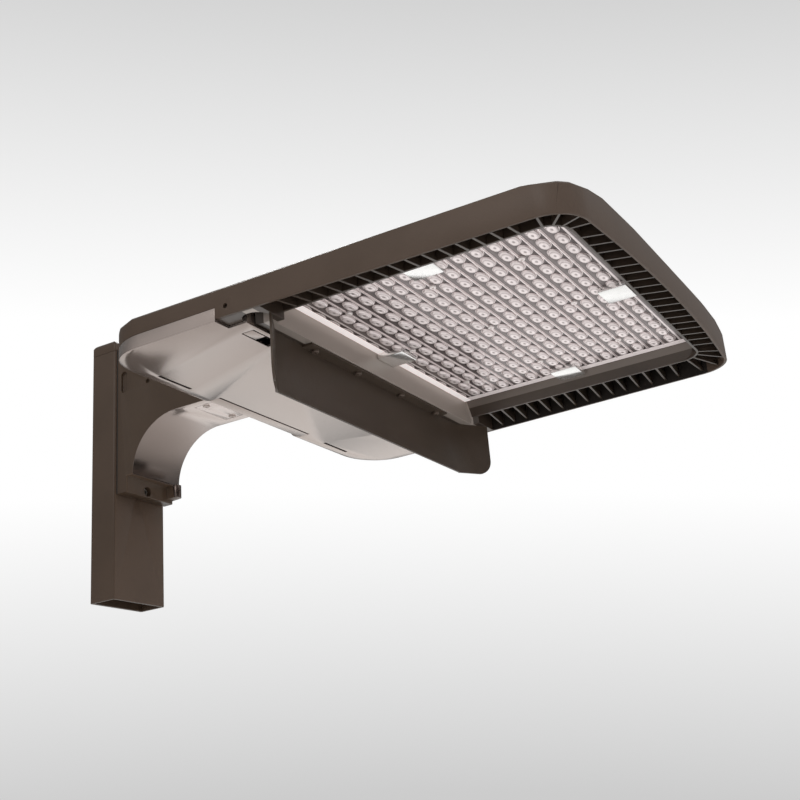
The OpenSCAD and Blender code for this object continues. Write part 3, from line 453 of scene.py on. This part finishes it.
def ring(sides, top, bottom, depth, drop):
    """A round or many-sided length of a fastener, with its lower end this far below zero."""
    length = fastener.node("GeometryNodeMeshCone", {}, {
        "Vertices": sides, "Radius Top": top, "Radius Bottom": bottom, "Depth": depth})
    return fastener.moved(length, fastener.vector(2, drop * -1))


def made_of_rings():
    """A head with a chamfered rim and a drive cut in it, and a shank below, top face at zero."""
    f = fastener
    head_r, head_h, sides = f.given("Head radius"), f.given("Head height"), f.given("Head sides")
    shank_r, length = f.given("Shank radius"), f.given("Length")
    drive_w, drive_d = f.given("Drive width"), f.given("Drive depth")
    rim = head_h * RIM_SHARE
    body = ring(sides, head_r, head_r, head_h - rim, head_h)
    crown = ring(sides, head_r * CROWN_SHARE, head_r, rim, rim)
    shank = ring(SHANK_SIDES, shank_r, shank_r, length - head_h * 0.5, length)
    drive = ring(f.given("Drive sides"), drive_w, drive_w * DRIVE_DRAFT, drive_d * 2.0, drive_d)
    solid = f.node("GeometryNodeMeshBoolean", {"operation": "UNION", "solver": "EXACT"},
                   {"Mesh 2": [body, crown, shank]})
    solid = f.node("GeometryNodeMeshBoolean", {"operation": "DIFFERENCE", "solver": "EXACT"},
                   {"Mesh 1": solid, "Mesh 2": drive})
    turn = f.node("FunctionNodeAlignRotationToVector", {"axis": "Z"}, {"Vector": f.given("Axis")})
    f.end(f.node("GeometryNodeInstanceOnPoints", {}, {
        "Points": f.given("Geometry"), "Instance": solid, "Rotation": turn}))


made_of_rings()


def turned(node, name, towards, finish, head, shank, drive, head_sides=20, picked=None):
    """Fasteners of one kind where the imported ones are, with their heads towards a side.

    head is (radius, height), shank is a radius, drive is (width, depth, sides). picked takes only
    those solids of the node, by their order along the axes.
    """
    axis = Vector(TOWARDS[towards])
    seats, reach = [], 0.0
    boxes = solids(node)
    for low, high in boxes if picked is None else [boxes[i] for i in picked]:
        middle, half = (low + high) / 2, (high - low) / 2
        out = abs(axis.dot(half))
        seats.append(middle + axis * out)
        reach = 2 * out
    mesh = bpy.data.meshes.new(name)
    mesh.from_pydata(seats, [], [])
    piece = placed(bpy.data.objects.new(name, mesh))
    fastener.applied(piece, {
        "Head radius": head[0], "Head height": head[1], "Head sides": head_sides, "Shank radius": shank,
        "Length": reach, "Drive width": drive[0], "Drive depth": drive[1], "Drive sides": drive[2],
        "Axis": tuple(axis), "Finish": finish})
    return settled(piece, finish, 25)


def screwed(node, name, towards, finish, **shape):
    fitted(turned(node, name, towards, finish, **shape), "body", node)


def turned_metal(name, deep, pale, gloss, metal=0.9):
    """Plated or bare turned metal, with fine rings of tool marks and a few dull spots."""
    make = Finish(name)
    marks = make.noise(1600.0, 2.0, (1.0, 1.0, 0.2))
    dull = make.noise(160.0, 3.0)
    return make.coat(make.shade(dull, deep, pale), gloss + marks * 0.12 + dull * 0.1,
                     make.skin(marks, 0.15, 0.0001), Metallic=metal)


screw_steel = turned_metal("screw_steel", (120, 117, 112), (168, 165, 160), 0.3)
low_bolt = turned("arm_bolts", "foot_bolt", "+x", screw_steel, (0.0047, 0.0045), 0.003,
                  (0.0027, 0.002, 6), picked=[0])
high_bolt = turned("arm_bolts", "arm_top_bolt", "+x", screw_steel, (0.0068, 0.0045), 0.0038,
                   (0.003, 0.001, 6), head_sides=6, picked=[1])
fitted(low_bolt, "body")
fitted(high_bolt, "body", "arm_bolts")
softened("bolt_washers", "bolt_washer_rings", screw_steel, 0.0002, steps=1, smooth=25)


# The backing plate: a zinc-plated steel bar across the inside of the pole, tapped for the two
# bolts of the arm. It is slid in from the open end and drawn against the wall by the bolts.
def zinc_plate(name, deep, pale):
    """Zinc plating: a bluish grey with faint crystals and rolling marks."""
    make = Finish(name)
    flakes = make.node("ShaderNodeTexVoronoi", {}, {"Vector": make.place, "Scale": 210.0})
    rolled = make.noise(90.0, 3.0, (1.0, 0.12, 1.0))
    return make.coat(make.shade(flakes * 0.7 + rolled * 0.4, deep, pale), rolled * 0.2 + 0.3,
                     make.skin(flakes + rolled, 0.12, 0.0001), Metallic=0.85)


zinc_steel = zinc_plate("zinc_steel", (128, 130, 131), (170, 172, 172))
dressed("backing_plate", zinc_steel)


# The access cover in the arm's flat underside: a thin plate over the wiring, held by two
# screws. Its powder is glossier than the arm's sides and drawn paler with painted reflection,
# like all that looks down.
PAINTED_LIGHT_NEAR_ARM = 0.1375


def painted_reflection_coat(name, deep, pale, bright):
    """Glossy powder drawn pale with painted reflection, paler still and less metallic next to the arm with
    painted light, and painted shade towards -y.
    """
    make = Finish(name)
    cloud = make.noise(*CLOUDS)
    painted_lit_near_arm = make.along(0).under(PAINTED_LIGHT_NEAR_ARM)
    # painted shade: darker towards -y; painted light: paler next to the arm
    colour = make.shade(painted_lit_near_arm, make.shade(cloud * 0.5 + make.along(1) * 1.5 + 0.28, deep, pale), bright)
    return make.coat(colour, cloud * 0.12 + 0.14, orange_peel(make, 0.22, 0.0002),
                     Metallic=painted_lit_near_arm * -0.55 + 0.85)


# All three colours are painted reflection on dark bronze powder; the third is the painted light next to
# the arm.
bronze_under = painted_reflection_coat("bronze_under", (148, 136, 130), (184, 172, 165), (208, 195, 189))
softened("access_cover", "arm_access_cover", bronze_under, 0.0004)


def painted_metal(name, deep, pale, bright, gloss):
    """A screw head under the powder of the part that it holds, with painted light that makes it paler next
    to the arm.
    """
    make = Finish(name)
    rub = make.noise(700.0, 2.0)
    colour = make.shade(make.along(0).under(PAINTED_LIGHT_NEAR_ARM), make.shade(rub, deep, pale), bright)
    return make.coat(colour, rub * 0.15 + gloss, make.skin(rub, 0.2, 0.0001), Metallic=0.3)


# The third colour is the painted light next to the arm.
screw_bronze = painted_metal("screw_bronze", (74, 60, 50), (104, 90, 80), (176, 163, 156), 0.3)
screwed("access_screws", "access_cover_screws", "-z", screw_bronze, head=(0.0036, 0.0022),
        shank=0.0018, drive=(0.0017, 0.0012, 4))


# The joint between arm and head: a rubber gasket, and four steel screws that are driven from
# inside the hollow arm into the neck of the head.
dressed("neck_gasket", seal_black)
screwed("neck_screws", "neck_joint_screws", "-x", screw_steel, head=(0.005, 0.004), shank=0.003,
        drive=(0.003, 0.0015, 6), head_sides=24)


# The head housing: one die casting with a low roof, an upright band all round, the neck for
# the arm and the fixed halves of the door's hinges. Fine orange-peel powder, dark bronze.
HEAD_TIP, HEAD_HALF_WIDTH = 0.627, 0.220
FRONT_BOW, BOW_REACH = 0.008, 0.1795
SIDE_TAPER, TAPER_START = 0.0215, 0.3115
RIM_BEND, RIM_INSIDE = 0.034, 0.0312
VENT_START, BAND_TOP = 0.318, 0.1858


def head_coat(name, deep, pale, shade):
    """Bronze powder, paler towards the front, with painted shade that darkens the rim's inner face behind
    the webs.
    """
    make = Finish(name)
    cloud = make.noise(*CLOUDS)
    along, across = make.along(0), make.along(1)
    wide = across.most(across * -1)
    bow = wide * wide * (FRONT_BOW / BOW_REACH ** 2)
    to_front = (along + bow - (HEAD_TIP - RIM_BEND)).most(0.0)
    to_side = (wide + (along - TAPER_START) * SIDE_TAPER - (HEAD_HALF_WIDTH - RIM_BEND)).most(0.0)
    # painted shade: the rim's inner face behind the webs, where the cells lie in shade
    inner = (to_front * to_front + to_side * to_side).under(RIM_INSIDE ** 2)
    inner = inner * along.over(VENT_START) * make.along(2).under(BAND_TOP)
    colour = make.shade(inner, make.shade(cloud * 0.6 + along * 0.9 - 0.3, deep, pale), shade)
    return make.coat(colour, cloud * 0.12 + inner * 0.3 + 0.36, orange_peel(make, 0.3),
                     Specular_IOR_Level=0.2)


# The third colour is the painted shade on the rim's inner face.
bronze_side = head_coat("bronze_side", (62, 49, 39), (94, 79, 69), (30, 24, 20))
softened("housing", "head_housing", bronze_side, 0.0004, smooth=30)


# The neck cover: a cast plate between the arm and the driver door, with a slope where it
# leaves the arm, held up by two screws.
softened("neck_cover", "neck_cover_plate", bronze_under, 0.0003)
screwed("cover_screws", "neck_cover_screws", "-z", screw_bronze, head=(0.0036, 0.0026),
        shank=0.0018, drive=(0.0017, 0.0014, 4))


# The driver door: a glossy cast tray under the rear half of the head, with knuckles at its
# rear edge that swing on two steel pins, and a foam gasket in its rim.
softened("driver_door", "door_casting", bronze_under, 0.0003, smooth=32, body="door")
dressed("hinge_pins", screw_steel)
dressed("door_gasket", seal_black)


# The two latches: cast slides in the door's front corners. A finger tab stands in the notch
# and the nose slips behind the keeper in the housing.
for side in ("left", "right"):
    softened("latch_" + side, "latch_slide_" + side, bronze_under, 0.0005, body="latch_" + side[0])


# The gear plate and what it carries: a zinc-plated sheet on four bosses of the roof, with the
# driver, the surge protector, the terminal block and the earth screw.
PAN_HEAD = {"head": (0.0036, 0.0024), "shank": 0.002, "drive": (0.0018, 0.0014, 4)}


def powder_coat(name, deep, pale, gloss, peel=0.35, metal=0.0, level=0.5):
    """Baked powder paint: even colour in slow clouds, a fine orange-peel skin, a soft sheen."""
    make = Finish(name)
    cloud = make.noise(*CLOUDS)
    grain = make.noise(1400.0, 1.0)
    rough = gloss + (cloud - 0.5) * 0.14 + (grain - 0.5) * 0.1
    return make.coat(make.shade(cloud * 0.75 + grain * 0.25, deep, pale), rough, orange_peel(make, peel),
                     Metallic=metal, Specular_IOR_Level=level)


def moulded(name, deep, pale, gloss, grain=0.2):
    """Moulded plastic: even colour with a faint spark-eroded grain."""
    make = Finish(name)
    flow = make.noise(25.0, 2.0)
    pits = make.noise(1100.0, 1.0)
    return make.coat(make.shade(flow, deep, pale), gloss + pits * 0.15, make.skin(pits, grain, 0.0001))


softened("gear_plate", "gear_sheet", zinc_steel, 0.0003, steps=1)
screwed("gear_screws", "gear_plate_screws", "-z", screw_steel, **PAN_HEAD)
driver_case = powder_coat("driver_case", (196, 196, 192), (212, 212, 209), 0.42, peel=0.15, metal=0.2)
softened("led_driver", "driver_box", driver_case, 0.0012, steps=3)
screwed("driver_screws", "driver_box_screws", "-z", screw_steel, **PAN_HEAD)
dark_plastic = moulded("dark_plastic", (34, 34, 36), (46, 46, 48), 0.4)
softened("surge_protector", "surge_block", dark_plastic, 0.0016, steps=3)
cream_plastic = moulded("cream_plastic", (222, 214, 192), (234, 227, 208), 0.38)
softened("terminal_block", "terminal_strip", cream_plastic, 0.0004, steps=1)
brass_screw = turned_metal("brass_screw", (150, 118, 62), (196, 160, 92), 0.26)
screwed("terminal_screws", "terminal_strip_screws", "-z", brass_screw, head=(0.0019, 0.0018),
        shank=0.0012, drive=(0.001, 0.0009, 4), head_sides=16)
green_screw = turned_metal("green_screw", (30, 104, 54), (48, 132, 74), 0.32, 0.5)
screwed("ground_screw", "earth_screw", "-z", green_screw, head_sides=6, **PAN_HEAD)


# The leads: white supply leads from block to protector to driver, and a pair of red leads that
# run through a rubber grommet in the bulkhead to the connector of the light engine.
lead_white = moulded("lead_white", (214, 212, 206), (228, 226, 221), 0.3, 0.05)
lead_red = moulded("lead_red", (150, 26, 22), (172, 38, 32), 0.3, 0.05)
dressed("supply_leads", lead_white)
dressed("led_leads", lead_red)
dressed("wire_grommet", seal_black)
softened("board_connector", "led_connector", cream_plastic, 0.0006)


# The vent frame: the casting that holds the optics, a tray with sloping walls and thin webs
# out to the rim all round, so that air can rise past the heat sink.
PAINTED_LIT_REAR_WALL = (0.3185, 0.3292)
FAR_WALL, PAINTED_LIT_FAR_WALL_FOOT = (0.1702, 0.1825), 0.1805
FAR_WALL_PAINTED_LIGHT = 0.34


def tray_coat(name, deep, pale, lit):
    """Bronze powder, with painted light that makes the tray's rear wall and the upper part of its far wall
    paler.
    """
    make = Finish(name)
    cloud = make.noise(*CLOUDS)
    along, across, height = make.along(0), make.along(1), make.along(2)
    # painted light: the rear wall and the upper far wall are drawn paler, as where light falls on them
    rear = along.over(PAINTED_LIT_REAR_WALL[0]) * along.under(PAINTED_LIT_REAR_WALL[1])
    far = across.over(FAR_WALL[0]) * across.under(FAR_WALL[1]) * height.over(PAINTED_LIT_FAR_WALL_FOOT)
    colour = make.shade(rear.most(far * FAR_WALL_PAINTED_LIGHT), make.shade(cloud, deep, pale), lit)
    return make.coat(colour, cloud * 0.1 + 0.26, make.skin(make.noise(650.0, 1.5), 0.25, 0.0002),
                     Metallic=0.15, Specular_IOR_Level=0.4)


bronze_vent = tray_coat("bronze_vent", (52, 42, 35), (72, 60, 51), (158, 147, 139))
softened("vent_frame", "vent_tray", bronze_vent, 0.0002, steps=1, smooth=30)


# The light engine: a finned aluminium extrusion with two white circuit boards and a small
# phosphor chip behind every lens, sealed to the optic plate by a silicone gasket.
def milled(name, deep, pale):
    make = Finish(name)
    drawn = make.noise(300.0, 2.0, (0.03, 1.0, 1.0))
    return make.coat(make.shade(drawn, deep, pale), drawn * 0.2 + 0.3, make.skin(drawn, 0.2, 0.0001),
                     Metallic=0.9)


def solder_mask(name):
    """White solder mask with the faint relief of copper tracks under it."""
    make = Finish(name)
    tracks = make.node("ShaderNodeTexBrick", {}, {
        "Vector": make.place, "Color1": (1, 1, 1, 1), "Color2": (0.9, 0.9, 0.9, 1),
        "Mortar": (0, 0, 0, 1), "Scale": 22.0, "Mortar Size": 0.01}, 1)
    return make.coat(make.shade(tracks, (236, 236, 233), (222, 222, 218)),
                     make.noise(200.0) * 0.1 + 0.3, make.skin(tracks, 0.3, 0.0001))


raw_aluminium = milled("raw_aluminium", (150, 151, 152), (186, 187, 188))
board_white = solder_mask("board_white")
phosphor = moulded("phosphor", (236, 196, 60), (246, 212, 92), 0.35, 0.3)
dressed("heat_sink", raw_aluminium)
for board in ("led_board_left", "led_board_right"):
    dressed(board, board_white)
dressed("led_chips", phosphor)
dressed("optic_gasket", seal_black)


# The optic plate: one clear plate with a lens over every chip, 14 columns of 14, each an oblong
# dome with a dimple, and a fine ridge between the columns. It lies in the tray, held by four
# clips and nine bright screws.
LENS_COLUMNS, LENS_ROWS = 14, 14
LENS_PITCH = (0.0172, 0.0227)
LENS_HALF = (0.0050, 0.0096)
LENS_MIDDLE = (0.4619, 0.0)
LENS_RINGS = [(1.0, 0.0), (0.98, 0.0008), (0.9, 0.0016), (0.72, 0.0022), (0.45, 0.0024), (0.22, 0.0021)]
LENS_STEPS = 16
LENS_FULLNESS = (0.8, 0.9)
DIMPLE_DROP = 0.0018
PLATE_FACE = 0.1874
RIDGE_SIDES, RIDGE_HALF = (-0.0023, -0.0011), 0.16
RIDGE_DROP, RIDGE_ROOT = 0.0009, 0.0001
FIELD_MARGIN = (0.0062, 0.0010)
PAINTED_RING_HALF = (0.0058, 0.0108)
SHADE_REACH = 0.1266
SHADE_LIFT = 0.32


def one_lens():
    """One lens, hanging from the plate's face: rings that close in, and a dimple at the tip."""
    shape = bmesh.new()
    rings = []
    for share, drop in LENS_RINGS:
        points = []
        for i in range(LENS_STEPS):
            angle = 2 * math.pi * i / LENS_STEPS
            flat = [half * share * math.copysign(abs(turn) ** fullness, turn)
                    for half, fullness, turn in zip(LENS_HALF, LENS_FULLNESS,
                                                    (math.cos(angle), math.sin(angle)))]
            points.append(shape.verts.new((*flat, -drop)))
        rings.append(points)
    tip = shape.verts.new((0, 0, -DIMPLE_DROP))
    for i in range(LENS_STEPS):
        j = (i + 1) % LENS_STEPS
        for upper, lower in zip(rings, rings[1:]):
            shape.faces.new((upper[i], lower[i], lower[j], upper[j]))
        shape.faces.new((rings[-1][i], tip, rings[-1][j]))
    shape.faces.new(rings[0])
    bmesh.ops.recalc_face_normals(shape, faces=shape.faces)
    return made_whole(shape, "lens_shape")


def block(name, low, high):
    shape = bmesh.new()
    bmesh.ops.create_cube(shape, size=1.0)
    for point in shape.verts:
        point.co = Vector([low[i] if point.co[i] < 0 else high[i] for i in range(3)])
    return made_whole(shape, name)


lens_grid = Recipe("lens_grid", {
    "Geometry": "Geometry", "Lens": "Object", "Ridge": "Object", "Columns": "Int", "Rows": "Int",
    "Column pitch": "Float", "Row pitch": "Float", "Middle": "Vector", "Finish": "Material"})


def lay_the_grid():
    """Lenses in columns and rows about the middle, with a ridge in each gap between columns."""
    g = lens_grid
    columns, rows = g.given("Columns"), g.given("Rows")
    pitch = g.given("Column pitch")
    spread = pitch * (columns - 1)

    def repeated(points, title):
        shape = g.node("GeometryNodeObjectInfo", {}, {"Object": g.given(title)}, 4)
        return g.node("GeometryNodeInstanceOnPoints", {}, {
            "Points": g.moved(points, g.given("Middle")), "Instance": shape})

    spots = g.node("GeometryNodeMeshGrid", {}, {
        "Size X": spread, "Size Y": g.given("Row pitch") * (rows - 1), "Vertices X": columns,
        "Vertices Y": rows})
    lines = g.node("GeometryNodeMeshLine", {"mode": "OFFSET"}, {
        "Count": columns - 1, "Start Location": g.vector(0, (spread - pitch) * -0.5),
        "Offset": g.vector(0, pitch)})
    g.end(g.node("GeometryNodeJoinGeometry", {}, {
        0: [g.given("Geometry"), repeated(spots, "Lens"), repeated(lines, "Ridge")]}))


lay_the_grid()


def lens_plastic(name):
    """Clear acrylic over white boards, drawn with painted highlights on the lenses and ridges and brown
    painted shade between them.

    A painted glow, an emission, lifts the strip that lies in the shade of the shield.
    """
    make = Finish(name)
    cells, edges = [], []
    for axis, count in ((0, LENS_COLUMNS), (1, LENS_ROWS)):
        along = make.along(axis) - LENS_MIDDLE[axis]
        half = LENS_PITCH[axis] * count / 2
        cells.append(make.node("ShaderNodeMath", {"operation": "FRACT"}, {
            0: (along + half) / LENS_PITCH[axis]}))
        edges.append(along.most(along * -1).over(half + FIELD_MARGIN[axis]))
    across, down = cells
    border = edges[0].most(edges[1])
    # painted light: the strip in the shade of the shield glows through Emission Color
    shaded = make.along(0).under(LENS_MIDDLE[0] - SHADE_REACH) * SHADE_LIFT
    wide = (across - 0.5) * (LENS_PITCH[0] / PAINTED_RING_HALF[0])
    long = (down - 0.5) * (LENS_PITCH[1] / PAINTED_RING_HALF[1])
    # painted highlights and shade on each lens: a dark dimple, bright rings with a darker ring between,
    # and shade round it
    glow = make.node("ShaderNodeValToRGB", {"stops": greys(
        (0.0, 0.4), (0.02, 0.4), (0.06, 0.95), (0.32, 0.9), (0.46, 0.5), (0.58, 0.95), (0.86, 0.95),
        (0.96, 0.2), (1.0, 0.0))}, {0: wide * wide + long * long})
    # painted highlight and shade on each ridge: a bright line with a dark groove beside it
    painted_ridge_light = make.node("ShaderNodeValToRGB", {"stops": greys(
        (0.0, 0.1), (0.08, 0.16), (0.2, 0.12), (0.7, 0.04), (0.84, 0.02), (0.89, 0.9), (0.95, 0.9),
        (1.0, 0.2))}, {0: across})
    cloud = make.noise(240.0, 2.0)
    share = make.node("ShaderNodeMath", {"operation": "MULTIPLY", "use_clamp": True},
                      {0: glow.most(painted_ridge_light).most(border), 1: cloud * 0.5 + 0.8})
    # The brown is painted shade between the lenses.
    return make.coat(make.shade(share, (56, 41, 40), (244, 232, 231)), cloud * 0.1 + 0.12,
                     make.skin(cloud, 0.2, 0.0003), Metallic=0.45 - border * 0.45,
                     Specular_IOR_Level=0.3, Emission_Strength=1.0,
                     Emission_Color=make.blend(shaded, (0, 0, 0, 1), (1, 0.95, 0.93, 1)))


optic_clear = lens_plastic("optic_clear")
lens_shape = one_lens()
ridge_shape = block("ridge_shape", (RIDGE_SIDES[0], -RIDGE_HALF, -RIDGE_DROP),
                    (RIDGE_SIDES[1], RIDGE_HALF, RIDGE_ROOT))
low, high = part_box("optic_plate")
plate = placed(block("optic_plate_lenses", (low.x, low.y, PLATE_FACE), (high.x, high.y, high.z)))
lens_grid.applied(plate, {
    "Lens": lens_shape, "Ridge": ridge_shape, "Columns": LENS_COLUMNS, "Rows": LENS_ROWS,
    "Column pitch": LENS_PITCH[0], "Row pitch": LENS_PITCH[1],
    "Middle": (*LENS_MIDDLE, PLATE_FACE), "Finish": optic_clear})
settled(plate, optic_clear, 50)
bpy.data.objects.remove(lens_shape)
bpy.data.objects.remove(ridge_shape)
fitted(plate, "body", "optic_plate")
clip_white = turned_metal("clip_white", (238, 237, 235), (252, 251, 250), 0.06)
softened("optic_clips", "plate_clips", clip_white, 0.0011, steps=3)
screw_bright = turned_metal("screw_bright", (232, 222, 220), (252, 244, 242), 0.2, 0.35)
screwed("optic_screws", "optic_plate_screws", "-z", screw_bright, head=(0.0031, 0.0022),
        shank=0.0018, drive=(0.0015, 0.0012, 6))


# The house-side shield: one bent sheet that hangs across the head behind the lenses, with an
# angled panel at each end and a flange above, held by four painted screws.
bronze_shield = powder_coat("bronze_shield", (60, 49, 40), (75, 63, 53), 0.42, level=0.25)
shield = settled(copied("house_shield", "house_side_shield"), bronze_shield, 25)
fitted(shield, "body", "house_shield")
screwed("shield_screws", "shield_flange_screws", "-z", screw_bronze, **PAN_HEAD)


# Brings the scene up to date.
bpy.context.view_layer.update()
